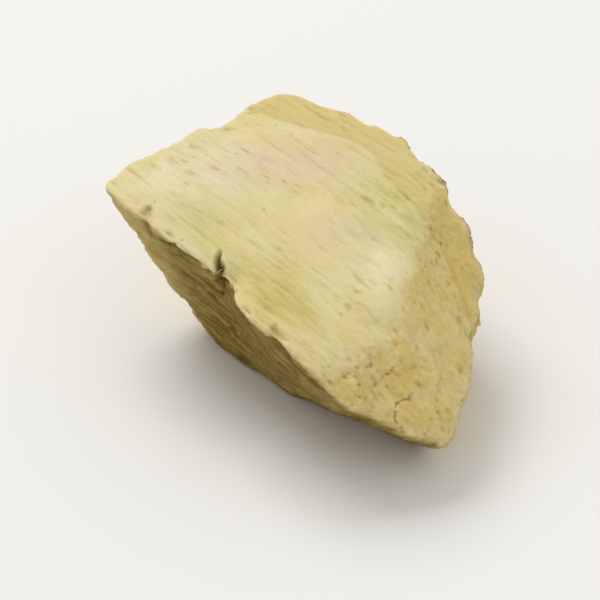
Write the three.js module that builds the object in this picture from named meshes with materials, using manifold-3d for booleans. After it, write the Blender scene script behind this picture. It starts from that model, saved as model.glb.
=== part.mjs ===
// One chip of dried ginger root: a chunk knifed out of a washed rhizome and dried until it is pale and hard.
// Its broad cut face looks up, its far side still carries skin, and it lies on a small flat of its base.
// Millimetres, +Z up. The origin is on the surface that the chip lies on, under the middle of its bounding box.
import * as THREE from "three";
import { TessellateModifier } from "three/addons/modifiers/TessellateModifier.js";
import { mergeVertices } from "three/addons/utils/BufferGeometryUtils.js";
import Module from "manifold-3d";

const wasm = await Module();
wasm.setup();

// Driving dimensions
const HEART_HEIGHT = 3.2; // from the surface up to the point that every cut is measured from
const BASE_WASTE = 0.35; // how much of the underside is cut away where the chip rests
const BLANK_SIZE = 26; // the block that the chip is cut from
const EDGE_SHARPNESS = 22; // a higher power leaves a smaller round between two cuts
const SURFACE_STEP = 0.55; // the longest side of a surface triangle
const SPLIT_ROUNDS = 16; // enough rounds to bring every side under that length

// The fibres run the length of the chip, beside its skin, and lie in low ridges a step apart.
const GRAIN_HEADING = -4; // in degrees round +Z from +X
const GRAIN_RISE = -6; // and above the horizon
const RIDGE_STEP = 1.7;
const RIDGE_SWAY = 0.4; // how far a ridge wanders to each side
const SWAY_LENGTH = 8;
const RING_STEP = 2.3; // the old leaf scars ring the skin, square to the fibres

// Drying leaves each face a little lumpy, and dished or domed.
const DISH_SPREAD = 5; // a lower power spreads a dish further towards the edges
const LUMP_SIZE = 4.6;

// How each kind of face stands off from its flat cut, in millimetres. A dish below zero is a dome.
const BROAD = { dish: -0.7, ridge: 0.05, lump: 0.08, ring: 0 };
const KNIFED = { dish: 0.3, ridge: 0.06, lump: 0.07, ring: 0 };
const SNAPPED = { dish: 0.12, ridge: 0.06, lump: 0.15, ring: 0 };
const SKIN = { dish: -0.12, ridge: 0.05, lump: 0.12, ring: 0.1 };
const UNDERSIDE = { dish: 0, ridge: 0.05, lump: 0.1, ring: 0 };

// Each cut is a plane: the way it faces, as a heading round +Z and a rise in degrees, and its reach from the heart.
const CUTS = [
  { heading: -45, rise: 80, reach: 2.86, face: BROAD }, // the broad face
  { heading: -45, rise: 86, reach: 2.99, face: BROAD }, // the flatter strip behind it
  { heading: -99.5, rise: -24, reach: 3.72, face: KNIFED }, // the long front, leaning in
  { heading: -15, rise: 40, reach: 6.03, face: SNAPPED }, // the toe
  { heading: -80, rise: -46, reach: 4, face: SNAPPED },
  { heading: -45, rise: -35, reach: 7.43, face: SNAPPED },
  { heading: 19, rise: -45, reach: 6.36, face: SNAPPED },
  { heading: 22, rise: 48.6, reach: 4.44, face: KNIFED }, // the slope on the right
  { heading: 41, rise: -20, reach: 5.38, face: SNAPPED }, // the right end
  { heading: 73.7, rise: 0, reach: 5.07, face: SKIN }, // the back, with the skin
  { heading: 85.6, rise: 3, reach: 5.55, face: SKIN },
  { heading: 106.4, rise: -4, reach: 5.78, face: SKIN },
  { heading: 80, rise: -42, reach: 4.7, face: SKIN },
  { heading: 130, rise: -45, reach: 5.1, face: SKIN },
  { heading: 174.5, rise: -15, reach: 5.74, face: SNAPPED }, // the left end
  { heading: 185, rise: -52, reach: 5.2, face: SNAPPED },
  { heading: 0, rise: -90, reach: HEART_HEIGHT + BASE_WASTE, face: UNDERSIDE },
];

// Small bites out of the surface: where each is from the heart, how wide and how deep.
const NICKS = [
  { at: [-0.3, -4.7, 2.4], width: 0.75, depth: 0.7 }, // in the long front edge
  { at: [-2, -4.5, 2.3], width: 2.4, depth: 0.55 },
  { at: [-6.3, 1.6, 3.6], width: 0.9, depth: 0.25 }, // in the edge of the left end
];

// The unit vector that looks along a heading and a rise.
function facing(heading, rise) {
  const turn = THREE.MathUtils.degToRad(heading);
  const lift = THREE.MathUtils.degToRad(rise);
  return new THREE.Vector3(
    Math.cos(turn) * Math.cos(lift),
    Math.sin(turn) * Math.cos(lift),
    Math.sin(lift),
  );
}

const planes = CUTS.map(({ heading, rise, reach, face }) => ({
  normal: facing(heading, rise),
  reach,
  face,
}));
const grain = facing(GRAIN_HEADING, GRAIN_RISE);
const across = new THREE.Vector3(0, 0, 1).cross(grain).normalize();
const through = grain.clone().cross(across);

// A geometry as a manifold-3d solid.
function solidOf(geometry) {
  const bare = geometry.clone();
  bare.deleteAttribute("normal");
  bare.deleteAttribute("uv");
  const merged = mergeVertices(bare);
  return new wasm.Manifold(
    new wasm.Mesh({
      numProp: 3,
      vertProperties: merged.getAttribute("position").array,
      triVerts: new Uint32Array(merged.index.array),
    }),
  );
}

// A manifold-3d solid as a geometry.
function geometryOf(solid) {
  const mesh = solid.getMesh();
  return new THREE.BufferGeometry()
    .setAttribute("position", new THREE.BufferAttribute(mesh.vertProperties, 3))
    .setIndex(new THREE.BufferAttribute(mesh.triVerts, 1));
}

// The blank, with the heart at its middle, after every cut has taken off what lies beyond its plane.
function cutBlank() {
  const up = new THREE.Vector3(0, 0, 1);
  const waste = 3 * BLANK_SIZE;
  let blank = solidOf(new THREE.BoxGeometry(BLANK_SIZE, BLANK_SIZE, BLANK_SIZE));
  for (const { normal, reach } of planes) {
    const beyond = new THREE.BoxGeometry(waste, waste, waste);
    beyond.translate(0, 0, waste / 2 + reach);
    beyond.applyQuaternion(new THREE.Quaternion().setFromUnitVectors(up, normal));
    blank = blank.subtract(solidOf(beyond));
  }
  return geometryOf(blank);
}

// Each cut's share of the spot that a direction points at. The power sets how sharply one gives way to the next.
function sharesAt(direction, power) {
  const pulls = planes.map(({ normal, reach }) =>
    Math.pow(Math.max(normal.dot(direction), 0) / reach, power),
  );
  const total = pulls.reduce((sum, pull) => sum + pull, 0);
  return { shares: pulls.map((pull) => pull / total), radius: Math.pow(total, -1 / power) };
}

// Low ridges that follow the fibres, from -1 to 1.
function ridgeAt(spot) {
  const sway = RIDGE_SWAY * Math.sin((2 * Math.PI * spot.dot(grain)) / SWAY_LENGTH);
  const over = Math.sin((2 * Math.PI * (spot.dot(across) + sway)) / RIDGE_STEP);
  const under = Math.sin((2 * Math.PI * (spot.dot(through) - sway)) / (1.2 * RIDGE_STEP));
  return 0.6 * over + 0.4 * under;
}

// Rings round the skin, each a narrow crest above a wide shallow trough, from -1 to 1.
function ringAt(spot) {
  const wave = Math.sin((2 * Math.PI * (spot.dot(grain) + RIDGE_SWAY * Math.sin(spot.z))) / RING_STEP);
  return 2 * Math.pow((1 + wave) / 2, 2) - 1;
}

// Broad lumps that follow nothing, from -1 to 1.
function lumpAt(spot) {
  const { x, y, z } = spot.clone().multiplyScalar((2 * Math.PI) / LUMP_SIZE);
  const wide = Math.sin(x + 0.4 * y + 1.1) * Math.sin(0.9 * y - 0.5 * z) * Math.cos(0.8 * z + 0.3 * x);
  const close = Math.sin(1.9 * x - 1.2 * z) * Math.cos(2.1 * y + 0.7 * x + 0.6);
  return 0.65 * wide + 0.35 * close;
}

// How far the nicks bite in at a spot.
function biteAt(spot) {
  return NICKS.reduce((sum, { at, width, depth }) => {
    const away = spot.distanceTo(new THREE.Vector3(...at)) / width;
    return sum + depth * Math.exp(-away * away);
  }, 0);
}

// The surface in one direction from the heart: the rounded block, with each face's relief.
function surfaceAt(direction) {
  const { shares, radius } = sharesAt(direction, EDGE_SHARPNESS);
  const dishes = sharesAt(direction, DISH_SPREAD).shares;
  const spot = direction.clone().multiplyScalar(radius);
  const ridge = ridgeAt(spot);
  const ring = ringAt(spot);
  const lump = lumpAt(spot);
  const relief = planes.reduce((sum, { face }, i) => {
    const standing = face.ridge * ridge + face.ring * ring + face.lump * lump;
    return sum + shares[i] * (standing - face.dish * dishes[i]);
  }, 0);
  return direction.clone().multiplyScalar(radius + relief - biteAt(spot));
}

// The whole surface, standing with its heart at its height.
function shapeSurface() {
  const split = new TessellateModifier(SURFACE_STEP, SPLIT_ROUNDS);
  const surface = mergeVertices(split.modify(cutBlank().toNonIndexed()), 1e-4);
  const positions = surface.getAttribute("position");
  for (let i = 0; i < positions.count; i++) {
    const direction = new THREE.Vector3().fromBufferAttribute(positions, i).normalize();
    positions.setXYZ(i, ...surfaceAt(direction));
  }
  return surface.translate(0, 0, HEART_HEIGHT);
}

// The chip, with the flat that it rests on cut into its base, and its bounding box set over the origin.
function restOnFlat(surface) {
  const below = new THREE.BoxGeometry(BLANK_SIZE, BLANK_SIZE, BLANK_SIZE);
  below.translate(0, 0, -BLANK_SIZE / 2);
  const rested = geometryOf(solidOf(surface).subtract(solidOf(below)));
  rested.computeBoundingBox();
  const middle = rested.boundingBox.getCenter(new THREE.Vector3());
  rested.translate(-middle.x, -middle.y, 0);
  rested.computeVertexNormals();
  return rested;
}

const chip = new THREE.Mesh(
  restOnFlat(shapeSurface()),
  new THREE.MeshStandardMaterial({ color: 0xd9cb98, roughness: 0.72, metalness: 0 }),
);
chip.name = "ginger_chip";

const part = new THREE.Group();
part.add(chip);
export default part;
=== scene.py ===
import logging
import math
from dataclasses import dataclass, field
from enum import Enum
from itertools import product
from typing import Sequence

import bpy
import numpy as np
from mathutils import Euler, Matrix, Vector, noise


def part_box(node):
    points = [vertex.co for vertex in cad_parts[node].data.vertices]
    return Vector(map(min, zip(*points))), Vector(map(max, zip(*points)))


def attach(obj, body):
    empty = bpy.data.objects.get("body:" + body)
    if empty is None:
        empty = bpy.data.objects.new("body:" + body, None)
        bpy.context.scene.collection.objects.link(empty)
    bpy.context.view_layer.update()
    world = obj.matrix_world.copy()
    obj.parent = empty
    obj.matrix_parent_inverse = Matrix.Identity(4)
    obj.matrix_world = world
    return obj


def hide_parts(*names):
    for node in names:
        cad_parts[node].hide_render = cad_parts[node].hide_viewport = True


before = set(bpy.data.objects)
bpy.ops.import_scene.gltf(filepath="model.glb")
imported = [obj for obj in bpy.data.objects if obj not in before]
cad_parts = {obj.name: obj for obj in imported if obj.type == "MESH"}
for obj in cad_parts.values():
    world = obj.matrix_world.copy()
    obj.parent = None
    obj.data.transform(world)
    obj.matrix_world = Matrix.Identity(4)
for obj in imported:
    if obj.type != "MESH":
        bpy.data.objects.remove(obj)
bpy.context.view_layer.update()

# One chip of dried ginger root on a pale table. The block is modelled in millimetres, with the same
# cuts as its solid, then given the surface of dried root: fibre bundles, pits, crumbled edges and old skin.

MM = 0.001
WHOLE_BODY = "root"
CHIP_NODE = "ginger_chip"

log = logging.getLogger("ginger_chip")

Number = float | int
Pair = tuple[float, float]
Point = tuple[float, float, float]
Colour = tuple[float, float, float, float]
Array = np.ndarray
Places = tuple[Array, Array, Array]


class Face(Enum):
    """How a face of the chip came about, which sets its relief and its colour."""

    BROAD = "the broad cut, domed as it dried"
    KNIFED = "cut by the knife along the fibres"
    SLANTED = "cut by the knife slantwise over the fibres"
    SNAPPED = "snapped across the fibres"
    SKIN = "old skin"
    UNDERSIDE = "what the chip lies on"


@dataclass(frozen=True)
class Relief:
    """How a kind of face stands off from its flat cut, in millimetres. A dish below zero is a dome.

    The first four shape the solid too. The others are the fine surface.
    """

    dish: float
    ridge: float
    lump: float
    ring: float
    fibre: float = 0
    thread: float = 0
    pore: float = 0
    grit: float = 0
    wrinkle: float = 0
    crag: float = 0
    step: float = 0
    brush: float = 0


RELIEFS = {
    Face.BROAD: Relief(-0.7, 0.05, 0.08, 0, fibre=0.036, thread=0.03, pore=0.012, grit=0.007),
    Face.KNIFED: Relief(0.3, 0.06, 0.07, 0, fibre=0.05, thread=0.05, pore=0.04, grit=0.012, step=0.04),
    Face.SLANTED: Relief(
        0.3, 0.06, 0.07, 0,
        fibre=0.02, thread=0.035, pore=0.035, grit=0.012, crag=0.03, step=0.02, brush=0.025,
    ),
    Face.SNAPPED: Relief(
        0.12, 0.06, 0.15, 0,
        fibre=0.03, thread=0.05, pore=0.045, grit=0.014, crag=0.06, step=0.035, brush=0.03,
    ),
    Face.SKIN: Relief(-0.12, 0.05, 0.12, 0.1, fibre=0.012, grit=0.008, wrinkle=0.1),
    Face.UNDERSIDE: Relief(
        0, 0.05, 0.1, 0,
        fibre=0.03, thread=0.03, pore=0.04, grit=0.015, crag=0.05, brush=0.03,
    ),
}


def facing(heading: float, rise: float) -> Vector:
    """The unit vector along a heading round +Z from +X and a rise above the horizon, in degrees."""
    turn, lift = math.radians(heading), math.radians(rise)
    return Vector((math.cos(turn) * math.cos(lift), math.sin(turn) * math.cos(lift), math.sin(lift)))


def turned(spots: Array, at: Pair, heading: float) -> tuple[Array, Array]:
    """Places seen from above, from a point of view of their own.

    Args:
        spots: one place a row.
        at: the point.
        heading: the way that it looks, in degrees.

    Returns:
        How far each place lies ahead of the point, and how far to its left.
    """
    turn = math.radians(heading)
    away = spots[:, :2] - np.array(at)
    ahead, left = (math.cos(turn), math.sin(turn)), (-math.sin(turn), math.cos(turn))
    return away @ np.array(ahead), away @ np.array(left)


@dataclass(frozen=True)
class Cut:
    """A plane that bounds the chip.

    It has the way it faces, in degrees, its reach from the heart, in millimetres, and how much painted shade
    it carries, partly the tan of an older cut.
    """

    heading: float
    rise: float
    reach: float
    face: Face
    # Painted shade, partly the cut's own tan: full under the undercut front, strong on faces that look down.
    shade_and_tan: float = 0

    @property
    def normal(self) -> Vector:
        """The outward normal."""
        return facing(self.heading, self.rise)


@dataclass(frozen=True)
class Nick:
    """A small bite out of the surface: its place from the heart, its width and its depth, in millimetres."""

    at: Point
    width: float
    depth: float


@dataclass(frozen=True)
class Patch:
    """A soft patch of another tint on the broad face, in millimetres from the heart.

    It has the mask that it goes into, its middle, the way its length runs, in degrees, its reach along that
    way and across it, and its strength.
    """

    mask: str
    at: Pair
    heading: float
    length: float
    width: float
    strength: float

    def at_spots(self, spots: Array) -> Array:
        """How strong the patch is at each spot, seen from above."""
        along, aside = turned(spots, self.at, self.heading)
        return self.strength * np.exp(-((along / self.length) ** 2) - (aside / self.width) ** 2)


@dataclass(frozen=True)
class Grain:
    """The way that the fibres run through the chip, in degrees."""

    heading: float = -4
    rise: float = -6

    @property
    def along(self) -> Vector:
        """The unit vector along the fibres."""
        return facing(self.heading, self.rise)

    @property
    def across(self) -> Vector:
        """The level unit vector square to the fibres."""
        return Vector((0, 0, 1)).cross(self.along).normalized()

    @property
    def through(self) -> Vector:
        """The unit vector square to the fibres and to the level one."""
        return self.along.cross(self.across)

    def split(self, spots: Array) -> Places:
        """How far places, one a row and from the heart, lie across, through and along the grain."""
        return spots @ np.array(self.across), spots @ np.array(self.through), spots @ np.array(self.along)


def noise_at(*axes: Array, octaves: int = 1, offset: float = 0.0) -> Array:
    """Smooth noise at many places.

    Args:
        axes: the three coordinates, each already divided by its own grain size.
        octaves: how many finer layers are added up.
        offset: a shift that gives another pattern.

    Returns:
        One value a place, from about -1 to 1.
    """
    places = (np.stack(axes, axis=1) + offset).tolist()
    if octaves == 1:
        return np.array([noise.noise(place) for place in places])
    return np.array([noise.fractal(place, 1.0, 2.0, octaves) for place in places])


def smooth_step(values: Array, low: float, high: float) -> Array:
    """A soft step from 0 at low to 1 at high, which may be the lower of the two."""
    step = np.clip((values - low) / (high - low), 0, 1)
    return step * step * (3 - 2 * step)


@dataclass
class ChipForm:
    """The chip's form as a rule: how far it reaches from the heart in each direction, in millimetres."""

    heart_height: float = 3.2
    base_waste: float = 0.35
    edge_sharpness: float = 22
    dish_spread: float = 5
    lump_size: float = 4.6
    ridge_step: float = 1.7
    ridge_sway: float = 0.4
    sway_length: float = 8
    ring_step: float = 2.3
    grain: Grain = field(default_factory=Grain)
    nicks: tuple[Nick, ...] = (
        Nick((-0.3, -4.7, 2.4), 0.75, 0.7),
        Nick((-2, -4.5, 2.3), 2.4, 0.55),
        Nick((-6.3, 1.6, 3.6), 0.9, 0.25),
    )

    @property
    def cuts(self) -> list[Cut]:
        """Every cut, as the solid has them.

        Returns:
            The cuts: the broad face first, then the flatter strip behind it.
        """
        return [
            Cut(-45, 80, 2.86, Face.BROAD),
            Cut(-45, 86, 2.99, Face.BROAD),
            # A cut's last number is its painted shade, partly the tan of an older cut.
            Cut(-99.5, -24, 3.72, Face.KNIFED, shade_and_tan=1.0),
            Cut(-15, 40, 6.03, Face.SNAPPED, shade_and_tan=0.1),
            Cut(-80, -46, 4, Face.SNAPPED, shade_and_tan=0.9),
            Cut(-45, -35, 7.43, Face.SNAPPED, shade_and_tan=0.7),
            Cut(19, -45, 6.36, Face.SNAPPED, shade_and_tan=0.5),
            Cut(22, 48.6, 4.44, Face.SLANTED, shade_and_tan=0.15),
            Cut(41, -20, 5.38, Face.SNAPPED, shade_and_tan=0.3),
            Cut(73.7, 0, 5.07, Face.SKIN),
            Cut(85.6, 3, 5.55, Face.SKIN),
            Cut(106.4, -4, 5.78, Face.SKIN),
            Cut(80, -42, 4.7, Face.SKIN),
            Cut(130, -45, 5.1, Face.SKIN),
            Cut(174.5, -15, 5.74, Face.SNAPPED, shade_and_tan=0.2),
            Cut(185, -52, 5.2, Face.SNAPPED, shade_and_tan=0.5),
            Cut(0, -90, self.heart_height + self.base_waste, Face.UNDERSIDE, shade_and_tan=0.75),
        ]

    @property
    def normals(self) -> Array:
        """The outward normal of every cut, one a row."""
        return np.array([cut.normal for cut in self.cuts])

    def shares(self, directions: Array, power: float) -> tuple[Array, Array]:
        """What each cut adds to the spots that some directions point at.

        Args:
            directions: one unit vector a row.
            power: how sharply one cut gives way to the next.

        Returns:
            Each cut's share of each spot, and how far the rounded block reaches there.
        """
        reaches = np.array([cut.reach for cut in self.cuts])
        pulls = (np.maximum(directions @ self.normals.T, 0) / reaches) ** power
        total = pulls.sum(axis=1)
        return pulls / total[:, None], total ** (-1 / power)

    def standing(self, shares: Array, forms: dict[str, Array]) -> Array:
        """How far the faces' forms stand out at each spot, each as high as the cuts' faces give it.

        Args:
            shares: each cut's share of each spot.
            forms: each form at each spot, by its field of Relief.

        Returns:
            Their sum, in millimetres.
        """
        reliefs = [RELIEFS[cut.face] for cut in self.cuts]
        heights = [shares @ np.array([getattr(relief, name) for relief in reliefs]) for name in forms]
        return sum(height * form for height, form in zip(heights, forms.values()))

    def kind(self, shares: Array, face: Face) -> Array:
        """How far each spot belongs to one kind of face, from 0 to 1."""
        return shares @ np.array([float(cut.face is face) for cut in self.cuts])

    def ridges(self, spots: Array) -> Array:
        """Low ridges that follow the fibres.

        Args:
            spots: places on the surface, one a row, in millimetres from the heart.

        Returns:
            The ridges there, from -1 to 1.
        """
        across, through, along = self.grain.split(spots)
        sway = self.ridge_sway * np.sin(2 * np.pi * along / self.sway_length)
        over = np.sin(2 * np.pi * (across + sway) / self.ridge_step)
        under = np.sin(2 * np.pi * (through - sway) / (1.2 * self.ridge_step))
        return 0.6 * over + 0.4 * under

    def rings(self, spots: Array) -> Array:
        """Old leaf scars round the skin, each a narrow crest above a wide shallow trough.

        Args:
            spots: places on the surface, one a row, in millimetres from the heart.

        Returns:
            The rings there, from -1 to 1.
        """
        along = self.grain.split(spots)[2]
        wave = np.sin(2 * np.pi * (along + self.ridge_sway * np.sin(spots[:, 2])) / self.ring_step)
        return 2 * ((1 + wave) / 2) ** 2 - 1

    def lumps(self, spots: Array) -> Array:
        """Broad lumps that follow nothing.

        Args:
            spots: places on the surface, one a row, in millimetres from the heart.

        Returns:
            The lumps there, from -1 to 1.
        """
        x, y, z = (spots * 2 * np.pi / self.lump_size).T
        wide = np.sin(x + 0.4 * y + 1.1) * np.sin(0.9 * y - 0.5 * z) * np.cos(0.8 * z + 0.3 * x)
        close = np.sin(1.9 * x - 1.2 * z) * np.cos(2.1 * y + 0.7 * x + 0.6)
        return 0.65 * wide + 0.35 * close

    def bites(self, spots: Array) -> Array:
        """How far the nicks bite into the surface.

        Args:
            spots: places on the surface, one a row, in millimetres from the heart.

        Returns:
            The depth at each spot, in millimetres.
        """
        total = np.zeros(len(spots))
        for nick in self.nicks:
            away = np.linalg.norm(spots - np.array(nick.at), axis=1) / nick.width
            total += nick.depth * np.exp(-away * away)
        return total

    def surface(self, directions: Array) -> Array:
        """The rounded block, with each face's broad relief.

        Args:
            directions: one unit vector from the heart a row.

        Returns:
            The place on the surface in each direction, in millimetres from the heart.
        """
        shares, radius = self.shares(directions, self.edge_sharpness)
        dishes = self.shares(directions, self.dish_spread)[0]
        spots = directions * radius[:, None]
        forms = {"ridge": self.ridges(spots), "ring": self.rings(spots), "lump": self.lumps(spots)}
        depths = np.array([RELIEFS[cut.face].dish for cut in self.cuts])
        relief = self.standing(shares, forms) - (shares * dishes) @ depths
        return directions * (radius + relief - self.bites(spots))[:, None]


@dataclass(frozen=True)
class Notch:
    """A sharp V in an edge of the broad face, in millimetres from the heart.

    It has the middle of its mouth, the way that it runs in, in degrees, its length, its width at the mouth,
    how strong it is, how wide its tip is beside the mouth, the share of its length over which it fades out,
    and the heights where it sets in and is full.
    """

    at: Pair
    heading: float
    length: float
    width: float
    strength: float = 1
    tip: float = 0.1
    fade: float = 0.3
    heights: Pair = (0.2, 1.8)

    def at_spots(self, spots: Array) -> Array:
        """How far places lie in the notch, seen from above.

        Args:
            spots: places on the surface, one a row, in millimetres from the heart.

        Returns:
            0 outside the notch, rising to its strength at its middle.
        """
        inward, aside = turned(spots, self.at, self.heading)
        left = np.clip(1 - inward / self.length, 0, 1)
        mouth = self.width / 2 * np.maximum(left, self.tip)
        strength = self.strength * smooth_step(left, 0, self.fade) * smooth_step(spots[:, 2], *self.heights)
        return strength * smooth_step(np.abs(aside) / mouth, 1, 0)


@dataclass(frozen=True)
class Pattern:
    """Noise that runs with the grain.

    It has its patches' reach across the grain and along it, in millimetres, how many finer layers it has, a
    shift that makes it a pattern of its own, and the noise where a mask made of it sets in and is full.
    """

    across: float
    along: float
    layers: int
    offset: float
    band: Pair = (0, 1)

    def at_places(self, places: Places) -> Array:
        """The noise at many places.

        Args:
            places: how far each place lies across, through and along the grain.

        Returns:
            The noise there, from about -1 to 1.
        """
        across, through, along = places
        axes = (across / self.across, through / self.across, along / self.along)
        return noise_at(*axes, octaves=self.layers, offset=self.offset)

    def mask(self, places: Places) -> Array:
        """The noise as a mask, from 0 to 1."""
        return smooth_step(self.at_places(places), *self.band)


@dataclass
class FineSurface:
    """The fine surface of dried root, laid over the chip's form. Sizes are in millimetres."""

    form: ChipForm
    face_sharpness: float = 40
    sway: float = 0.22
    drift: Pattern = Pattern(3, 3.5, 1, 4.1)
    climb: Pattern = Pattern(3, 3.5, 1, 9.7)
    strand: Pattern = Pattern(0.36, 4.4, 3, 0.0, (0.14, 0.02))
    stretch: Pattern = Pattern(0.8, 3.6, 2, 71.9, (-0.35, 0.2))
    cluster: Pattern = Pattern(2.4, 2.4, 2, 21.7, (-0.05, 0.45))
    hole: Pattern = Pattern(0.19, 0.8, 2, 17.3, (0.34, 0.62))
    grit: Pattern = Pattern(0.17, 0.17, 2, 3.9)
    crag: Pattern = Pattern(0.85, 1.1, 4, 27.5)
    brush: Pattern = Pattern(0.2, 1.6, 2, 83.2)
    rag: Pattern = Pattern(0.5, 2.0, 2, 91.6)
    furrow: Pattern = Pattern(0.75, 5.5, 2, 31.2)
    crease: Pattern = Pattern(0.24, 3.4, 2, 5.5)
    flake: Pattern = Pattern(0.5, 1.6, 4, 66.6, (0.3, 0.4))
    ring_rag: Pattern = Pattern(0.45, 0.7, 3, 97.3)
    split: Pattern = Pattern(1.25, 6, 3, 44.6, (0.06, 0.005))
    dryness: Pattern = Pattern(2.1, 2.1, 1, 52.8, (0.15, 0.34))
    chip: Pattern = Pattern(0.9, 2.0, 3, 8.8, (0.16, 0.5))
    nibble: Pattern = Pattern(0.3, 0.6, 3, 12.4, (-0.1, 0.5))
    shrinkage: Pattern = Pattern(1.3, 2.6, 3, 61.3)
    slanted_share: float = 0.7
    edge_gain: float = 3
    cells: int = 64
    cell_margin: float = 0.12
    fibre_crest: float = 0.6
    fibre_fall: float = 2.2
    thread_gap: float = 0.74
    thread_radius: float = 0.075
    thread_girth: Pair = (0.5, 0.8)
    thread_round: Pair = (1.5, 0.2)
    torn_share: float = 0.3
    lone_pore: float = 0.2
    step_gap: float = 0.46
    step_groove: float = 0.1
    step_rag: float = 0.3
    crack_depth: float = 0.08
    shrink_depth: float = 0.05
    skin_rag: float = 0.1
    skin_edge: Pair = (0.6, 0.72)
    furrow_gain: float = 2
    furrow_floor: float = 0.5
    crease_gain: float = 0.7
    peel: float = 0.04
    ring_wobble: float = 0.3
    ring_level: float = 0.35
    ring_line: Pair = (0.26, 0.06)
    ring_crest: float = 0.05
    # Painted shade fades towards the left tip: to this share of it at the first x, in millimetres, full from
    # the second.
    shade_fade_x: Pair = (-6.0, -2.5)
    tip_shade_share: float = 0.56
    # Painted shade in cracks and in the torn threads, which lie sunk.
    crack_shade: float = 0.7
    torn_shade: float = 0.6
    notch_rag: float = 0.07
    chip_depth: float = 0.15
    nibble_depth: float = 0.06
    notch_depth: float = 0.5
    thin_corner: Pair = (7.7, 6.9)
    worn_spread: float = 13
    bark_depth: float = 1.8
    bark_fade: float = 0.25
    bark_rag: float = 0.3
    scar_line: Pair = (0.14, 0.042)
    patch_rag: float = 0.9
    patch_grain: Point = (2.2, 0.7, 0.7)
    patch_most: float = 1.4
    patch_layers: int = 3
    seed: int = 7
    notches: tuple[Notch, ...] = (
        Notch((-0.15, -4.8), 137, 1.9, 1.1),
        Notch((-4.5, -4.3), 118, 0.6, 1.1, 0.3),
        Notch((3.1, -5.4), 128, 0.7, 1.3, 0.25),
    )
    patches: tuple[Patch, ...] = (
        Patch("rosy", (-2.6, 1.2), 46, 3.0, 1.4, 0.85),
        Patch("rosy", (1.2, -0.6), 60, 1.6, 0.9, 0.4),
        Patch("olive", (1.9, 2.2), -15, 2.4, 1.4, 0.7),
        Patch("olive", (-2.9, -3.3), -30, 1.6, 0.9, 0.4),
        Patch("yellow", (2.3, -4.2), -12, 3.6, 1.5, 0.6),
        Patch("yellow", (5.2, -2.9), 75, 2.0, 1.1, 0.45),
        # The pale patches are painted highlight.
        Patch("pale", (-4.9, -1.4), 62, 3.0, 1.5, 0.85),
        Patch("pale", (3.5, -0.3), -58, 2.2, 0.9, 0.65),
    )

    def swayed(self, spots: Array) -> Places:
        """Gives places by the fibres, which wander a little as they run.

        Args:
            spots: places on the surface, one a row, in millimetres from the heart.

        Returns:
            How far each lies across, through and along the grain.
        """
        straight = self.form.grain.split(spots)
        across, through, along = straight
        across = across + self.sway * self.drift.at_places(straight)
        through = through + self.sway * self.climb.at_places(straight)
        return across, through, along

    def bundles(self, across: Array, through: Array, gap: float, seed: int) -> tuple[Array, Array, Array]:
        """Finds the nearest of many bundles that run the length of the grain, one in each cell of a grid.

        Args:
            across: the place across the grain.
            through: the place through it.
            gap: how wide a cell is.
            seed: what the draws start from.

        Returns:
            How far its middle is, how much further the next one's is, and two numbers that it drew.
        """
        draw = np.random.default_rng(seed)
        grid = (self.cells, self.cells, 2)
        jitter = draw.uniform(self.cell_margin, 1 - self.cell_margin, grid)
        luck = draw.uniform(0, 1, grid)
        column, row = across / gap + self.cells / 2, through / gap + self.cells / 2
        nearest = np.full(len(across), np.inf)
        second = nearest.copy()
        drawn = np.zeros((len(across), 2))
        for step_column, step_row in product((-1, 0, 1), repeat=2):
            i = (np.floor(column) + step_column).astype(int)
            j = (np.floor(row) + step_row).astype(int)
            away = np.hypot(i + jitter[i, j, 0] - column, j + jitter[i, j, 1] - row) * gap
            closer = away < nearest
            second = np.where(closer, nearest, np.minimum(second, away))
            drawn[closer] = luck[i[closer], j[closer]]
            nearest = np.where(closer, away, nearest)
        return nearest, second - nearest, drawn

    def steps(self, places: Places) -> Array:
        """Ragged bundles that broke off at different lengths.

        Args:
            places: how far each place lies across, through and along the grain.

        Returns:
            How far the bundle there stands out, from -1 to 1.
        """
        across, through, _ = places
        push = self.step_rag * self.rag.at_places(places)
        margin, drawn = self.bundles(across + push, through - push, self.step_gap, self.seed + 1)[1:]
        return (2 * drawn[:, 0] - 1) * smooth_step(margin, 0, self.step_groove)

    def under_skin(self, spots: Array) -> Array:
        """How deep each spot lies below the skin, in millimetres."""
        outside = [cut for cut in self.form.cuts if cut.face is Face.SKIN]
        return np.min([cut.reach - spots @ np.array(cut.normal) for cut in outside], axis=0)

    def edges(self, shares: Array) -> Array:
        """How near each spot is to an edge between two cuts, from 0 on a face to 1 on a sharp edge."""
        return np.clip(self.edge_gain * (1 - np.sum((shares @ self.form.normals) ** 2, axis=1)), 0, 1)

    def patched(self, spots: Array, broad: Array) -> dict[str, Array]:
        """The masks of the tinted patches.

        Args:
            spots: places on the surface, one a row.
            broad: how far each of them belongs to the broad face.

        Returns:
            Each mask by its name.
        """
        axes = (spots / self.patch_grain).T
        masks = {}
        for patch in self.patches:
            cloudy = noise_at(*axes, octaves=self.patch_layers, offset=patch.heading)
            ragged = 1 + self.patch_rag * cloudy
            here = patch.at_spots(spots) * broad * np.clip(ragged, 0, self.patch_most)
            masks[patch.mask] = np.maximum(masks.get(patch.mask, 0), here)
        return masks

    def relief(self, directions: Array, spots: Array) -> tuple[Array, dict[str, Array]]:
        """The fine relief at each spot, with the masks that the finish reads.

        Args:
            directions: the unit vectors from the heart towards the spots, one a row.
            spots: places on the surface, one a row.

        Returns:
            How far the surface stands out there, and the masks by name.
        """
        form = self.form
        shares = form.shares(directions, self.face_sharpness)[0]
        snapped = form.kind(shares, Face.SNAPPED) + self.slanted_share * form.kind(shares, Face.SLANTED)
        rim = self.edges(shares)
        worn = self.edges(form.shares(directions, self.worn_spread)[0])
        places = self.swayed(spots)

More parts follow.
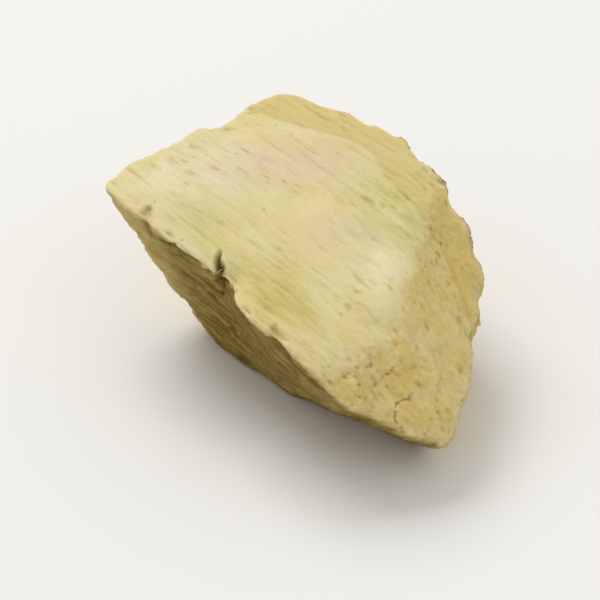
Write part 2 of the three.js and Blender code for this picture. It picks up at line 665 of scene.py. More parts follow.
        strands = np.abs(self.strand.at_places(places))
        away, _, luck = self.bundles(places[0], places[1], self.thread_gap, self.seed)
        girth = self.thread_radius * (self.thread_girth[0] + self.thread_girth[1] * luck[:, 1])
        threads = smooth_step(away / girth, *self.thread_round) * self.stretch.mask(places)
        torn = luck[:, 0] < self.torn_share
        crowded = self.lone_pore + (1 - self.lone_pore) * self.cluster.mask(places)
        pores = self.hole.mask(places) * crowded
        ring_rag = self.ring_rag.at_places(places)
        skin = smooth_step(form.kind(shares, Face.SKIN) + self.skin_rag * ring_rag, *self.skin_edge)
        furrows = self.furrow_gain * np.abs(self.furrow.at_places(places)) - self.furrow_floor
        furrows += self.crease_gain * np.abs(self.crease.at_places(places))
        flaked = self.flake.mask(places) * skin
        rings = np.abs(form.rings(spots) + self.ring_wobble * ring_rag - self.ring_level)
        scars = smooth_step(rings, *self.ring_line) * skin
        dry = self.dryness.mask(places) * np.clip(snapped, 0, 1)
        cracks = smooth_step(np.abs(self.split.at_places(places)), *self.split.band) * dry
        shrinkage = self.shrinkage.at_places(places)
        stout = smooth_step(np.linalg.norm(spots, axis=1), *self.thin_corner)
        chips = self.chip.mask(places)
        nibble = self.nibble.at_places(places)
        nibbles = smooth_step(nibble, *self.nibble.band)
        ragged = spots + self.notch_rag * nibble[:, None]
        notched = np.max([notch.at_spots(ragged) for notch in self.notches], axis=0)

        forms = {
            "fibre": self.fibre_crest - self.fibre_fall * strands,
            "thread": threads * np.where(torn, -1.0, 1.0),
            "pore": -pores,
            "grit": self.grit.at_places(places),
            "wrinkle": furrows,
            "crag": self.crag.at_places(places),
            "step": self.steps(places),
            "brush": self.brush.at_places(places),
        }
        height = form.standing(shares, forms) + self.peel * (skin - flaked) + self.ring_crest * scars
        height += self.shrink_depth * shrinkage - self.crack_depth * cracks
        height -= stout * (self.chip_depth * worn * chips + self.nibble_depth * rim * nibbles)
        height -= self.notch_depth * notched

        depth = self.under_skin(spots) + self.bark_rag * shrinkage
        # Painted shade, partly the tan of older cuts, from each spot's cuts, lighter towards the left tip.
        shade_and_tan = shares @ np.array([cut.shade_and_tan for cut in form.cuts])
        shade_and_tan *= self.tip_shade_share + (1 - self.tip_shade_share) * smooth_step(spots[:, 0], *self.shade_fade_x)
        # Painted shade in pores, cracks and torn threads.
        pit_shade = pores + self.crack_shade * cracks + self.torn_shade * threads * torn
        masks = {
            "skin": skin,
            "flaked": flaked,
            "ring": scars,
            "snapped": snapped,
            "shade_and_tan": shade_and_tan,
            "rim": rim,
            "fibre": smooth_step(strands, *self.strand.band),
            "thread": threads,
            "pore": np.clip(pit_shade, 0, 1),
            "notch": notched,
            "bark": smooth_step(depth, self.bark_depth + self.bark_fade, self.bark_depth - self.bark_fade),
            "scar": smooth_step(np.abs(depth - self.bark_depth), *self.scar_line),
        }
        masks.update(self.patched(spots, shares[:, 0] + shares[:, 1]))
        return height, masks


def named(sockets: Sequence[bpy.types.NodeSocket], name: str) -> bpy.types.NodeSocket:
    """A node's socket, by its identifier or name."""
    return next((socket for socket in sockets if socket.identifier == name), None) or sockets[name]


class Wire:
    """A value on its way through a shader. Python's operators add Math nodes to it."""

    def __init__(self, graph: "Graph", socket: bpy.types.NodeSocket) -> None:
        """Wraps one output socket of a graph's node."""
        self.graph = graph
        self.socket = socket

    def __add__(self, other: "Wire | Number") -> "Wire":
        """self + other"""
        return self.graph.math("ADD", self, other)

    def __sub__(self, other: "Wire | Number") -> "Wire":
        """self - other"""
        return self.graph.math("SUBTRACT", self, other)

    def __rsub__(self, other: Number) -> "Wire":
        """other - self"""
        return self.graph.math("SUBTRACT", other, self)

    def __mul__(self, other: "Wire | Number") -> "Wire":
        """self * other"""
        return self.graph.math("MULTIPLY", self, other)

    def __truediv__(self, other: "Wire | Number") -> "Wire":
        """self / other"""
        return self.graph.math("DIVIDE", self, other)

    __radd__ = __add__
    __rmul__ = __mul__


Feed = Wire | Number | Sequence[float]


@dataclass(frozen=True)
class Cloud:
    """Soft-edged noise for a shader.

    It has how wide its patches are, in millimetres, how many finer layers it has, the noise where it sets in
    and is full, and how strong the finer layers are.
    """

    size: float
    layers: int
    low: float = 0
    high: float = 1
    roughness: float = 0.5


def rising(span: Pair, mask: Wire) -> Wire:
    """A strength that starts at the span's first number and gains its second where the mask is full."""
    return span[0] + span[1] * mask


class Graph:
    """The nodes of one material."""

    def __init__(self, name: str) -> None:
        """Starts an empty material.

        Args:
            name: the material's name.
        """
        self.material = bpy.data.materials.new(name)
        self.material.use_nodes = True
        self.tree = self.material.node_tree
        self.tree.nodes.clear()

    def node(self, kind: str, settings: dict[str, object], sockets: dict[str, Feed]) -> bpy.types.Node:
        """Adds a node: its settings first, then its sockets.

        Args:
            kind: the node's type.
            settings: attributes of the node.
            sockets: values or wires by the input's identifier or name.

        Returns:
            The node.
        """
        made = self.tree.nodes.new(kind)
        for name, value in settings.items():
            setattr(made, name, value)
        for name, value in sockets.items():
            socket = named(made.inputs, name)
            if isinstance(value, Wire):
                self.tree.links.new(value.socket, socket)
            else:
                socket.default_value = value
        return made

    def out(self, output: str, kind: str, settings: dict[str, object], sockets: dict[str, Feed]) -> Wire:
        """One output, by its identifier or name, of a new node."""
        return Wire(self, named(self.node(kind, settings, sockets).outputs, output))

    def math(self, operation: str, first: Wire | Number, second: Wire | Number) -> Wire:
        """One Math node on two values."""
        sockets = {"Value": first, "Value_001": second}
        return self.out("Value", "ShaderNodeMath", {"operation": operation}, sockets)

    def attribute(self, name: str) -> Wire:
        """A mask that the mesh carries."""
        return self.out("Fac", "ShaderNodeAttribute", {"attribute_name": name}, {})

    def place(self) -> Wire:
        """The place on the piece, in millimetres."""
        sockets = {"Vector": self.out("Object", "ShaderNodeTexCoord", {}, {}), "Scale": 1 / MM}
        return self.out("Vector", "ShaderNodeVectorMath", {"operation": "SCALE"}, sockets)

    def along(self, place: Wire, direction: Vector) -> Wire:
        """How far a place lies along a direction."""
        sockets = {"Vector": place, "Vector_001": direction}
        return self.out("Value", "ShaderNodeVectorMath", {"operation": "DOT_PRODUCT"}, sockets)

    def shift(self, place: Wire, amount: Wire, reach: float) -> Wire:
        """A place moved by noise, so that a regular pattern on it turns ragged.

        Args:
            place: the place.
            amount: the noise, from 0 to 1.
            reach: how far the noise moves it.

        Returns:
            The moved place.
        """
        push = self.combine(amount * reach, (1 - amount) * reach, amount * (0.5 * reach))
        sockets = {"Vector": place, "Vector_001": push}
        return self.out("Vector", "ShaderNodeVectorMath", {"operation": "ADD"}, sockets)

    def combine(self, x: Wire, y: Wire, z: Wire) -> Wire:
        """A vector of three values."""
        return self.out("Vector", "ShaderNodeCombineXYZ", {}, {"X": x, "Y": y, "Z": z})

    def noise(self, place: Wire, cloud: Cloud) -> Wire:
        """A cloud's bare noise at a place, from 0 to 1 and seldom near either."""
        finer = {"Detail": cloud.layers, "Roughness": cloud.roughness}
        return self.out("Fac", "ShaderNodeTexNoise", {}, {"Vector": place, "Scale": 1 / cloud.size, **finer})

    def cloud(self, place: Wire, cloud: Cloud) -> Wire:
        """A cloud at a place, from 0 to 1."""
        return self.band(self.noise(place, cloud), cloud.low, cloud.high)

    def cells(self, place: Wire, size: float) -> tuple[Wire, Wire]:
        """Scattered cells.

        Args:
            place: the place.
            size: how wide a cell is.

        Returns:
            The distance from the cell's middle, and a number from 0 to 1 of its own.
        """
        made = self.node("ShaderNodeTexVoronoi", {}, {"Vector": place, "Scale": 1 / size})
        own = self.out("Red", "ShaderNodeSeparateColor", {}, {"Color": Wire(self, made.outputs["Color"])})
        return Wire(self, made.outputs["Distance"]), own

    def band(self, value: Wire, low: float, high: float) -> Wire:
        """A soft step from 0 at low to 1 at high, which may be the lower of the two."""
        sockets = {"Value": value, "From Min": low, "From Max": high}
        return self.out("Result", "ShaderNodeMapRange", {"interpolation_type": "SMOOTHSTEP"}, sockets)

    def mix(self, factor: Wire | Number, first: Wire | Colour, second: Wire | Colour) -> Wire:
        """Two colours mixed: the first at factor 0, the second at 1."""
        sockets = {"Factor_Float": factor, "A_Color": first, "B_Color": second}
        return self.out("Result_Color", "ShaderNodeMix", {"data_type": "RGBA"}, sockets)

    def coated(self, colour: Wire, coats: Sequence[tuple[Wire, Wire | Colour]]) -> Wire:
        """A colour under coats of others, laid on in order.

        Args:
            colour: the colour underneath.
            coats: each coat's mask and colour.

        Returns:
            The colour that shows.
        """
        for mask, coat in coats:
            colour = self.mix(mask, colour, coat)
        return colour

    def bump(self, height: Wire, depth: float) -> Wire:
        """A normal bumped by a relief from 0 to 1, which stands for so many millimetres."""
        sockets = {"Height": height, "Distance": depth * MM, "Strength": 1.0}
        return self.out("Normal", "ShaderNodeBump", {}, sockets)

    def finish(self, sockets: dict[str, Feed]) -> bpy.types.Material:
        """Joins a Principled shader to the output.

        Args:
            sockets: values or wires of the shader's inputs.

        Returns:
            The finished material.
        """
        surface = self.out("BSDF", "ShaderNodeBsdfPrincipled", {"subsurface_method": "RANDOM_WALK"}, sockets)
        self.node("ShaderNodeOutputMaterial", {}, {"Surface": surface})
        return self.material


def paint(red: int, green: int, blue: int) -> Colour:
    """Turns a screen colour into the shader's own light values.

    Args:
        red: its red, from 0 to 255.
        green: its green.
        blue: its blue.

    Returns:
        The colour, with an alpha of 1.
    """
    shares = (red / 255, green / 255, blue / 255)
    light = [c / 12.92 if c <= 0.04045 else ((c + 0.055) / 1.055) ** 2.4 for c in shares]
    return (light[0], light[1], light[2], 1.0)


@dataclass(frozen=True)
class Marks:
    """How strongly each mark shows in the colour. A pair is for a mark that another mask strengthens."""

    haze: float = 0.22
    under_bark: float = 0.8
    tint: Pair = (0.55, 0.8)
    snapped: Pair = (0.35, 0.5)
    # Painted shade, partly tan: how strongly its two browns show, more where the mottle is full.
    shade_tan_strength: Pair = (0.8, 0.2)
    vein: float = 0.22
    fibre: float = 0.22
    thread: float = 0.3
    thread_end: float = 0.5
    scar: Pair = (0.2, 0.15)
    oil: float = 0.4
    # Painted shade in pores, cracks and torn threads, stronger on faces painted in shade.
    pore: Pair = (0.32, 0.25)
    # Painted shade in the notches, in the deep brown.
    notch: float = 0.85
    # Painted shade in hollows, stronger on faces painted in shade.
    hollow: Pair = (0.34, 0.18)
    # Painted highlight, partly pale powder, on crests and rims, patchy by a cloud.
    crest: Pair = (0.15, 0.3)
    rim: Pair = (0.1, 0.3)
    # How far the painted highlight fades where the face is painted in shade.
    highlight_lost_in_shade: float = 0.85
    bark_streak: float = 0.35
    # Painted shade in the skin's wrinkles and painted highlight on its crests.
    bark_hollow_shade: float = 0.6
    bark_crest_highlight: float = 0.35
    bark_ring: float = 0.45
    bark_flake: float = 0.6


@dataclass(frozen=True)
class GingerFinish:
    """Dried ginger: pale powdery flesh with fibres running through it, and tan skin."""

    grain: Grain
    cream: Colour = paint(230, 216, 154)
    ivory: Colour = paint(235, 223, 172)
    golden: Colour = paint(218, 197, 122)
    yellow: Colour = paint(204, 189, 104)
    rosy: Colour = paint(228, 209, 178)
    olive: Colour = paint(203, 199, 122)
    straw: Colour = paint(228, 198, 112)
    # Painted shade, partly the tan of older cuts: a light brown for light shade and a deep brown for deep
    # shade.
    shaded_amber: Colour = paint(188, 162, 88)
    shaded_umber: Colour = paint(113, 91, 22)
    # Painted highlight, partly pale powder: on crests, on rims and in the pale patches.
    floury_highlight: Colour = paint(245, 233, 194)
    resin: Colour = paint(186, 140, 64)
    # Painted shade in pits and hollows: the first on faces in light, the second on faces painted in shade.
    hollow: Colour = paint(156, 118, 50)
    pit: Colour = paint(84, 60, 18)
    bark_tan: Colour = paint(186, 156, 104)
    bark_dark: Colour = paint(118, 90, 50)
    bark_pale: Colour = paint(212, 190, 142)
    bark_flesh: Colour = paint(222, 202, 148)
    tone: Cloud = Cloud(2.6, 4, 0.34, 0.68)
    haze: Cloud = Cloud(1.5, 4, 0.5, 0.74)
    streak: Cloud = Cloud(0.2, 4, 0.36, 0.64, 0.65)
    mottle: Cloud = Cloud(0.9, 4, 0.42, 0.62, 0.6)
    vein: Cloud = Cloud(0.14, 3, 0.54, 0.76, 0.6)
    # The cloud that makes the painted highlight on crests and rims patchy.
    highlight_patchiness: Cloud = Cloud(0.5, 4, 0.3, 0.7, 0.7)
    bark_mottle: Cloud = Cloud(1.6, 4, 0.38, 0.66, 0.6)
    bark_streak: Cloud = Cloud(0.2, 3, 0.5, 0.72, 0.6)
    marks: Marks = Marks()
    oil_bend: Cloud = Cloud(0.3, 2)
    oil_reach: float = 0.3
    oil_gap: float = 0.4
    oil_speck: Pair = (0.24, 0.06)
    oil_rarity: Pair = (0.84, 0.93)
    powder: Cloud = Cloud(0.11, 4, roughness=0.75)
    strand: Cloud = Cloud(0.1, 4, roughness=0.65)
    strand_stretch: float = 11
    powder_share: float = 0.55
    bump_depth: float = 0.08
    roughness: Pair = (0.72, 0.16)
    sheen: float = 0.2
    glow: float = 0.08
    glow_colour: Point = (1.0, 0.7, 0.35)
    glow_reach: float = 0.5

    def flesh(self, graph: Graph, place: Wire, threads: Wire) -> Wire:
        """The colour of the cut and snapped faces, with painted shade under them and in their hollows, and
        painted highlight on their crests and rims.

        Args:
            graph: the material's nodes.
            place: the place in millimetres.
            threads: the same place, stretched so that noise runs with the fibres.

        Returns:
            The colour.
        """
        marks = self.marks
        snapped, shade_and_tan = graph.attribute("snapped"), graph.attribute("shade_and_tan")
        thread, sunk = graph.attribute("thread"), graph.attribute("sunk")
        streaks = rising(marks.tint, graph.cloud(threads, self.streak))
        # The pale patches are painted highlight; the rosy, olive and yellow ones are the root's own tints.
        tints = {"pale": self.floury_highlight, "rosy": self.rosy, "olive": self.olive, "yellow": self.yellow}
        mottle = graph.cloud(place, self.mottle)
        uneven = rising(marks.shade_tan_strength, mottle)
        # Painted shade for pits and hollows, deeper on faces painted in shade.
        hollow = graph.mix(shade_and_tan, self.hollow, self.pit)
        # The painted highlight is patchy, and fades where the face is painted in shade.
        highlight_patchiness = graph.cloud(place, self.highlight_patchiness)
        unshaded = 1 - marks.highlight_lost_in_shade * shade_and_tan
        coats = [
            (graph.cloud(place, self.haze) * marks.haze, self.olive),
            (graph.attribute("bark") * marks.under_bark, self.golden),
            *((graph.attribute(mask) * streaks, tint) for mask, tint in tints.items()),
            (snapped * rising(marks.snapped, mottle), self.straw),
            # Painted shade, partly tan: light brown, then deep brown as the painted shade deepens.
            (graph.band(shade_and_tan, 0, 0.5) * uneven, self.shaded_amber),
            (graph.band(shade_and_tan, 0.5, 1.0) * uneven, self.shaded_umber),
            (graph.cloud(threads, self.vein) * marks.vein, self.straw),
            (graph.attribute("fibre") * marks.fibre, self.straw),
            (thread * marks.thread, self.straw),
            (thread * snapped * marks.thread_end, self.resin),
            (graph.attribute("scar") * rising(marks.scar, snapped), self.resin),
            (self.oil_cells(graph, place) * marks.oil, self.resin),
            # Painted shade in pores, cracks and torn threads.
            (graph.attribute("pore") * rising(marks.pore, shade_and_tan), hollow),
            # Painted shade in the notches.
            (graph.attribute("notch") * marks.notch, self.shaded_umber),
            # Painted shade in hollows.
            (graph.band(sunk, 0.5, 1.0) * rising(marks.hollow, shade_and_tan), hollow),
            # Painted highlight, partly pale powder, on crests and rims.
            (graph.band(sunk, 0.5, 0.0) * rising(marks.crest, highlight_patchiness) * unshaded, self.floury_highlight),
            (graph.attribute("rim") * rising(marks.rim, highlight_patchiness) * unshaded, self.floury_highlight),
        ]
        return graph.coated(graph.mix(graph.cloud(place, self.tone), self.cream, self.ivory), coats)

    def oil_cells(self, graph: Graph, place: Wire) -> Wire:
        """Scattered specks of dried oil: the few cells whose own number is high.

        Args:
            graph: the material's nodes.
            place: the place in millimetres.

        Returns:
            A mask of the specks.
        """
        bent = graph.shift(place, graph.noise(place, self.oil_bend), self.oil_reach)
        distance, draw = graph.cells(bent, self.oil_gap)
        return graph.band(distance, *self.oil_speck) * graph.band(draw, *self.oil_rarity)

    def bark(self, graph: Graph, place: Wire, threads: Wire) -> Wire:
        """The colour of the skin: tan, with painted shade in its wrinkles and painted highlight on its
        crests, paler where it has flaked.

        Args:
            graph: the material's nodes.
            place: the place in millimetres.
            threads: the same place, stretched so that noise runs with the fibres.

        Returns:
            The colour.
        """
        marks = self.marks
        sunk = graph.attribute("sunk")
        coats = [
            (graph.cloud(threads, self.bark_streak) * marks.bark_streak, self.bark_dark),
            # Painted shade in the wrinkles and painted highlight on the crests.
            (graph.band(sunk, 0.5, 1.0) * marks.bark_hollow_shade, self.bark_dark),
            (graph.band(sunk, 0.5, 0.05) * marks.bark_crest_highlight, self.bark_pale),
            (graph.attribute("ring") * marks.bark_ring, self.bark_dark),
            (graph.attribute("flaked") * marks.bark_flake, self.bark_flesh),
        ]
        base = graph.mix(graph.cloud(place, self.bark_mottle), self.bark_tan, self.bark_pale)
        return graph.coated(base, coats)

    def material(self) -> bpy.types.Material:
        """Joins skin and flesh, with their fine bumps.

        Returns:
            The finish, ready to be put on the chip.
        """
        graph = Graph("dried ginger")
        place = graph.place()
        across = graph.along(place, self.grain.across)
        through = graph.along(place, self.grain.through)
        along = graph.along(place, self.grain.along)
        threads = graph.combine(across, through, along / self.strand_stretch)
        skin = graph.attribute("skin")
        colour = graph.mix(skin, self.flesh(graph, place, threads), self.bark(graph, place, threads))

        powder, strands = graph.noise(place, self.powder), graph.noise(threads, self.strand)
        height = powder * self.powder_share + strands * (1 - self.powder_share)
        return graph.finish(
            {
                "Base Color": colour,
                "Roughness": rising(self.roughness, powder),
                "Normal": graph.bump(height, self.bump_depth),
                "Specular IOR Level": self.sheen,
                "Subsurface Weight": self.glow,
                "Subsurface Radius": self.glow_colour,
                "Subsurface Scale": self.glow_reach * MM,
            }
        )


@dataclass(frozen=True)
class FibreFinish:
    """Bare fibre: dry straw, paler in places."""

    straw: Colour = paint(206, 180, 112)
    pale: Colour = paint(224, 206, 152)
    tone: Cloud = Cloud(0.25, 3, 0.35, 0.65)
    roughness: Pair = (0.6, 0.2)
    sheen: float = 0.3

    def material(self) -> bpy.types.Material:
        """Mottles the straw, which is rougher where it is pale.

        Returns:
            The finish, ready to be put on the fibre ends.
        """
        graph = Graph("bare fibre")
        grain = graph.noise(graph.place(), self.tone)
        tone = graph.band(grain, self.tone.low, self.tone.high)
        return graph.finish(
            {
                "Base Color": graph.mix(tone, self.straw, self.pale),
                "Roughness": rising(self.roughness, grain),
                "Specular IOR Level": self.sheen,
            }
        )


def deselect() -> None:
    """Leaves nothing selected, since an operator acts on all that is."""
    if bpy.context.object and bpy.context.object.mode != "OBJECT":
        bpy.ops.object.mode_set(mode="OBJECT")
    bpy.ops.object.select_all(action="DESELECT")


@dataclass
class GingerChip:
    """The chip: a block cut in millimetres, carved into dried root, then brought to metres."""

    form: ChipForm = field(default_factory=ChipForm)
    blank_size: float = 26
    mesh_step: float = 0.0775
    normal_rounds: int = 3
    hollow_rounds: int = 14
    hollow_depth: float = 0.045

    def cut_block(self) -> bpy.types.Object:
        """Cuts a cube round the heart, plane after plane.

        Returns:
            The block that is left, in millimetres.
        """
        deselect()
        bpy.ops.mesh.primitive_cube_add(size=self.blank_size, location=(0, 0, 0))
        block = bpy.context.object
        block.name = "dried_ginger_chip"
        bpy.ops.object.mode_set(mode="EDIT")
        for cut in self.form.cuts:
            bpy.ops.mesh.select_all(action="SELECT")
            bpy.ops.mesh.bisect(
                plane_co=cut.normal * cut.reach,
                plane_no=cut.normal,
                use_fill=True,
                clear_outer=True,
            )
        bpy.ops.mesh.select_all(action="SELECT")
        bpy.ops.mesh.normals_make_consistent(inside=False)
        bpy.ops.object.mode_set(mode="OBJECT")
        return block

    def remesh(self, block: bpy.types.Object) -> None:
        """Gives the block an even skin of small quads, fine enough to carve.

        Args:
            block: the cut block.
        """
        even = block.modifiers.new("even quads", "REMESH")
        even.mode = "VOXEL"
        even.voxel_size = self.mesh_step
        bpy.ops.object.modifier_apply(modifier=even.name)

    def carve(self, block: bpy.types.Object) -> None:
        """Moves the quads' corners onto the chip's form, then raises the fine surface along the normals.

        Args:
            block: the remeshed block, which becomes the chip.
        """
        mesh = block.data
        corners = read_points(mesh, "co")
        directions = corners / np.linalg.norm(corners, axis=1)[:, None]
        spots = self.form.surface(directions)
        write_points(mesh, spots)
        normals = evened(mesh, read_points(mesh, "normal"), self.normal_rounds)
        normals /= np.linalg.norm(normals, axis=1)[:, None]
        height, masks = FineSurface(self.form).relief(directions, spots)
        spots = spots + normals * height[:, None]
        spots[:, 2] = np.maximum(spots[:, 2] + self.form.heart_height, 0)
        write_points(mesh, spots)
        masks["sunk"] = self.sunk(mesh)
        for name, values in masks.items():
            layer = mesh.attributes.new(name, "FLOAT", "POINT")
            layer.data.foreach_set("value", values.astype(np.float32))

    def sunk(self, mesh: bpy.types.Mesh) -> Array:
        """How far each corner lies below those around it.

        Args:
            mesh: the chip's mesh.

        Returns:
            0 on a crest, 0.5 on the level and 1 in a hollow.
        """
        spots = read_points(mesh, "co")
        away = evened(mesh, spots, self.hollow_rounds) - spots
        below = np.sum(away * read_points(mesh, "normal"), axis=1)
        return np.clip(0.5 + 0.5 * below / self.hollow_depth, 0, 1)

    def set_in_place(self, block: bpy.types.Object) -> None:
        """Brings the chip to metres, with its middle over its solid's.

        Args:
            block: the chip in millimetres.
        """
        low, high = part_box(CHIP_NODE)
        spots = read_points(block.data, "co") * MM
        middle = (spots.min(axis=0) + spots.max(axis=0)) / 2
        spots[:, :2] += (np.array((low + high) / 2) - middle)[:2]
        write_points(block.data, spots)

    def build(self) -> bpy.types.Object:
        """Models the chip and dresses it.

        Returns:
            The finished piece.
        """
        chip = self.cut_block()
        log.info("cut the block: %d faces", len(chip.data.polygons))
        self.remesh(chip)
        self.carve(chip)
        self.set_in_place(chip)
        bpy.ops.object.shade_smooth()
        chip.data.materials.clear()
        chip.data.materials.append(GingerFinish(self.form.grain).material())
        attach(chip, WHOLE_BODY)
        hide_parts(CHIP_NODE)
        log.info("carved the chip: %d quads", len(chip.data.polygons))
        return chip


def read_points(mesh: bpy.types.Mesh, what: str) -> Array:
    """Reads one vector of every vertex.

    Args:
        mesh: the mesh.
        what: the name of the vector, "co" for the place or "normal".

    Returns:
        The vectors, one a row.
    """
    values = np.empty(3 * len(mesh.vertices), dtype=np.float32)
    mesh.vertices.foreach_get(what, values)
    return values.reshape(-1, 3).astype(float)


def evened(mesh: bpy.types.Mesh, values: Array, rounds: int) -> Array:
    """Averages a vector of every vertex with its neighbours'.

    Args:
        mesh: the mesh.
        values: one vector a row.
        rounds: how often it is done.

    Returns:
        The averaged vectors.
    """
    ends = np.empty(2 * len(mesh.edges), dtype=np.int32)
    mesh.edges.foreach_get("vertices", ends)
    first, second = ends.reshape(-1, 2).T
    size = len(values)
    joined = np.bincount(ends, minlength=size)
    for _ in range(rounds):
        sums = [
            np.bincount(first, column[second], size) + np.bincount(second, column[first], size)
            for column in values.T
        ]
        values = 0.5 * values + 0.5 * (np.array(sums) / joined).T
    return values


def write_points(mesh: bpy.types.Mesh, places: Array) -> None:
    """Moves every vertex to its place, one a row."""
    mesh.vertices.foreach_set("co", places.astype(np.float32).ravel())
    mesh.update()


@dataclass
class FibreEnds:
    """Ends of fibres that stand out of the snapped ends like sparse bristles. Sizes are in millimetres."""

    grain: Grain
    sides: int = 6
    radius: float = 0.055
    length: float = 0.2
    stretch: Pair = (0.45, 1.5)
    stages: int = 4
    curl: float = 0.009
    taper: float = 0.78
    gap: float = 0.6
    reach: float = 12
    share: float = 0.3
    facing_least: float = 0.65
    root: float = 0.1
    stray: float = 0.25
    floor_gap: float = 0.15
    seed: int = 80

    def one_end(self) -> bpy.types.Object:
        """Extrudes a ring upwards in stages, each narrower and a little further aside.

        Returns:
            One fibre end, in millimetres.
        """
        deselect()
        bpy.ops.mesh.primitive_circle_add(
            vertices=self.sides, radius=self.radius, fill_type="NGON", location=(0, 0, 0)
        )
        end = bpy.context.object
        bpy.ops.object.mode_set(mode="EDIT")
        bpy.ops.mesh.select_all(action="SELECT")
        rise = self.length / self.stages
        aside = 0.0
        for stage in range(1, self.stages + 1):
            step = self.curl * stage
            aside += step
            top = (aside, 0, rise * stage)
            bpy.ops.mesh.extrude_region_move(TRANSFORM_OT_translate={"value": (step, 0, rise)})
            bpy.ops.transform.resize(value=(self.taper, self.taper, 1), center_override=top)
        bpy.ops.mesh.select_all(action="SELECT")
        bpy.ops.mesh.normals_make_consistent(inside=False)
        bpy.ops.object.mode_set(mode="OBJECT")
        return end

    def seats(self, chip: bpy.types.Object) -> list[Matrix]:
        """Where each fibre end stands.

        Args:
            chip: the finished chip, in metres.

        Returns:
            For each, the turn, stretch and move that seat it on the chip.
        """
        draw = np.random.default_rng(self.seed)
        low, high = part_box(CHIP_NODE)
        rays = int(self.reach / 2 / self.gap)
        shortest, longest = self.stretch
        found = []
        for side, column, row in product((1, -1), range(-rays, rays + 1), range(-rays, rays + 1)):
            out = self.grain.along * side
            jitter = draw.uniform(-0.5, 0.5, 2)
            lean = Vector(draw.uniform(-self.stray, self.stray, 3))
            chance, stretch, spin = draw.uniform((0, shortest, 0), (1, longest, 2 * math.pi))
            aside = self.grain.across * float(column + jitter[0])
            aside += self.grain.through * float(row + jitter[1])
            start = (low + high) / 2 + (aside * self.gap + out * self.reach) * MM
            hit, place, normal, _ = chip.ray_cast(start, -out)
            if not hit or chance > self.share or normal.dot(out) < self.facing_least:
                continue
            way = (out + lean).normalized()
            tip = place + way * (self.length * stretch * MM)
            if tip.z < self.floor_gap * MM or any(tip[i] < low[i] or tip[i] > high[i] for i in range(3)):
                continue
            seat = Matrix.Translation(place - out * (self.root * MM))
            seat @= way.to_track_quat("Z", "Y").to_matrix().to_4x4()
            found.append(seat @ Matrix.Rotation(spin, 4, "Z") @ Matrix.Diagonal((MM, MM, stretch * MM, 1)))
        return found

    def build(self, chip: bpy.types.Object) -> bpy.types.Object:
        """Models one fibre end, copies it to every seat and joins the copies.

        Args:
            chip: the finished chip.

        Returns:
            The finished piece.
        """
        seats = self.seats(chip)
        first = self.one_end()
        ends = [first]
        for seat in seats[1:]:
            deselect()
            first.select_set(True)
            bpy.context.view_layer.objects.active = first
            bpy.ops.object.duplicate()
            bpy.context.object.data.transform(seat)
            ends.append(bpy.context.object)
        first.data.transform(seats[0])
        deselect()
        for end in ends:
            end.select_set(True)
        bpy.context.view_layer.objects.active = first
        bpy.ops.object.join()
        first.name = "fibre_ends"
        bpy.ops.object.shade_smooth()
        first.data.materials.append(FibreFinish().material())
        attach(first, WHOLE_BODY)
        log.info("stood up %d fibre ends", len(seats))
        return first


@dataclass(frozen=True)
class Lamp:
    """A soft square light that looks at the chip.

    It has its name, where it stands round the chip from +X and how high, in degrees, how far off it is and
    how wide, in metres, and its watts.
    """

    name: str
    heading: float
    rise: float
    away: float
    size: float
    power: float

    def hang(self) -> None:
        """Adds the lamp to the scene."""
        deselect()
        toward = facing(self.heading, self.rise)
        bpy.ops.object.light_add(type="AREA", location=toward * self.away)
        lamp = bpy.context.object
        lamp.name = self.name
        lamp.rotation_euler = toward.to_track_quat("Z", "Y").to_euler()
        lamp.data.shape = "SQUARE"
        lamp.data.size = self.size
        lamp.data.energy = self.power


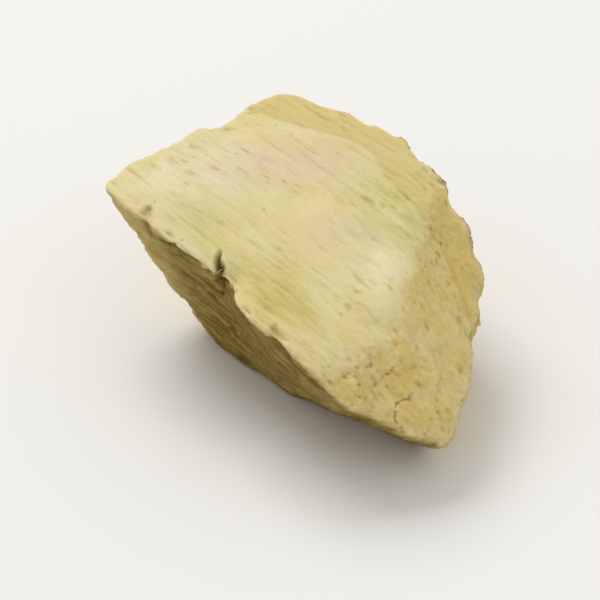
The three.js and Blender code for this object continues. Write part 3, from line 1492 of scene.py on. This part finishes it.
@dataclass
class Studio:
    """A pale table, soft light from above the left, and the camera, in metres and degrees."""

    heading: float = 45
    height: float = 35
    lens: float = 200
    sensor: float = 36
    view_width: float = 0.0215
    aim: Point = (-0.0009, -0.0009, 0.0028)
    nearest: float = 0.001
    farthest: float = 10
    table_size: float = 1.2
    table_mottle: Cloud = Cloud(60, 2)
    table_tones: tuple[Colour, Colour] = (paint(240, 239, 235), paint(243, 242, 239))
    table_roughness: float = 0.9
    lamps: tuple[Lamp, ...] = (Lamp("key", 168, 52, 0.5, 0.3, 1.2), Lamp("fill", -5, 48, 0.7, 0.5, 0.5))
    sky_colour: Colour = (1.0, 0.99, 0.97, 1.0)
    sky_strength: float = 0.6

    def camera(self) -> None:
        """The camera, above the chip's front right corner."""
        away = facing(self.heading - 90, self.height)
        distance = self.view_width * self.lens / self.sensor
        deselect()
        bpy.ops.object.camera_add(location=Vector(self.aim) + away * distance)
        camera = bpy.context.object
        camera.rotation_euler = Euler((math.radians(90 - self.height), 0, math.radians(self.heading)))
        camera.data.lens = self.lens
        camera.data.sensor_width = self.sensor
        camera.data.clip_start = self.nearest
        camera.data.clip_end = self.farthest
        bpy.context.scene.camera = camera

    def table(self) -> None:
        """The pale surface under the chip."""
        deselect()
        bpy.ops.mesh.primitive_plane_add(size=self.table_size, location=(0, 0, 0))
        table = bpy.context.object
        table.name = "table"
        graph = Graph("pale table")
        colour = graph.mix(graph.noise(graph.place(), self.table_mottle), *self.table_tones)
        table.data.materials.append(graph.finish({"Base Color": colour, "Roughness": self.table_roughness}))

    def light(self) -> None:
        """The lamps, the sky's even light and the plain way that the picture shows them."""
        for lamp in self.lamps:
            lamp.hang()
        world = bpy.data.worlds.new("even light")
        bpy.context.scene.world = world
        world.use_nodes = True
        sky = world.node_tree.nodes["Background"]
        sky.inputs["Color"].default_value = self.sky_colour
        sky.inputs["Strength"].default_value = self.sky_strength
        bpy.context.scene.view_settings.view_transform = "Standard"

    def build(self) -> None:
        """Sets up the whole studio."""
        self.table()
        self.light()
        self.camera()


def main() -> None:
    """Builds the chip and its studio, and reports each piece."""
    logging.basicConfig(level=logging.INFO, format="%(name)s: %(message)s")
    chip = GingerChip().build()
    log.info("%s stands for %s", chip.name, CHIP_NODE)
    ends = FibreEnds(Grain()).build(chip)
    log.info("%s stand on it", ends.name)
    Studio().build()


if __name__ == "__main__":
    main()
